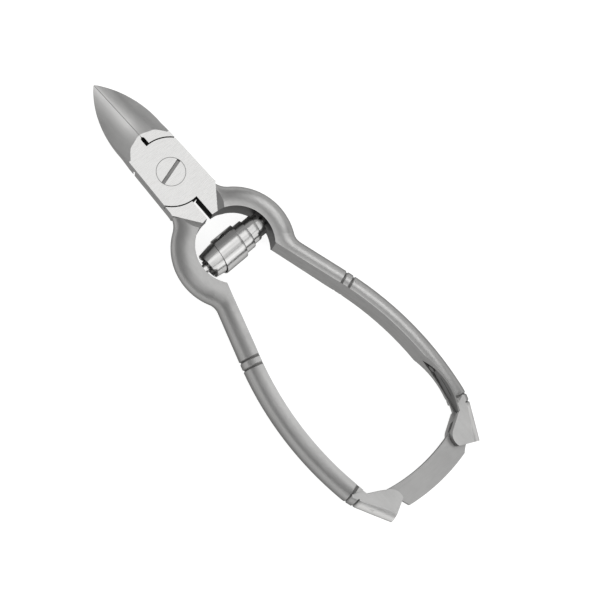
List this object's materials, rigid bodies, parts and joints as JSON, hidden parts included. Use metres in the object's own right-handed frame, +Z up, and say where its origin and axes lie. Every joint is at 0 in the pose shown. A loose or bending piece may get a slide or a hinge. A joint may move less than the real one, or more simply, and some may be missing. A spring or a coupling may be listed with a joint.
{
  "type": "toenail nipper",
  "caption": "Lap-jointed toenail nipper with curved jaws, bowed handles, a barrel spring and a swinging back lock, shown closed and locked.",
  "frame": {"origin": "centre of the closed outline in plan, on the surface that the nipper lies on", "axes": "+Y to the jaws along the length, +X to the handle that carries the lock bar, +Z up through the pivot screw's head"},
  "size_m": [0.0474, 0.1408, 0.0113],
  "materials": {
    "satin_steel": "matt satin stainless steel, fine grain",
    "lock_steel": "matt stainless steel bar",
    "screw_steel": "bright ground stainless steel",
    "spring_steel": "polished rolled strip",
    "pin_steel": "pins ground flush"
  },
  "bodies": {
    "front": {"front_half": "satin_steel", "spring_peg_right": "pin_steel", "barrel_spring": "spring_steel", "lock_pivot_pin": "pin_steel", "lock_leaf_spring": "spring_steel", "leaf_spring_rivet": "pin_steel"},
    "back": {"back_half": "satin_steel", "pivot_screw": "screw_steel", "spring_peg_left": "pin_steel", "lock_catch_pin": "pin_steel"},
    "lock": {"lock_bar": "lock_steel"}
  },
  "joints": [
    {"name": "jaw_pivot", "type": "hinge", "parent": "front", "child": "back", "pos_m": [0, 0.0388, 0.00564], "axis": [0, 0, -1], "range_deg": [0, 15], "deforming": ["barrel_spring"]},
    {"name": "lock_swing", "type": "hinge", "parent": "front", "child": "lock", "pos_m": [0.0136, -0.0653, 0.00564], "axis": [0, 0, -1], "range_deg": [0, 90]}
  ]
}
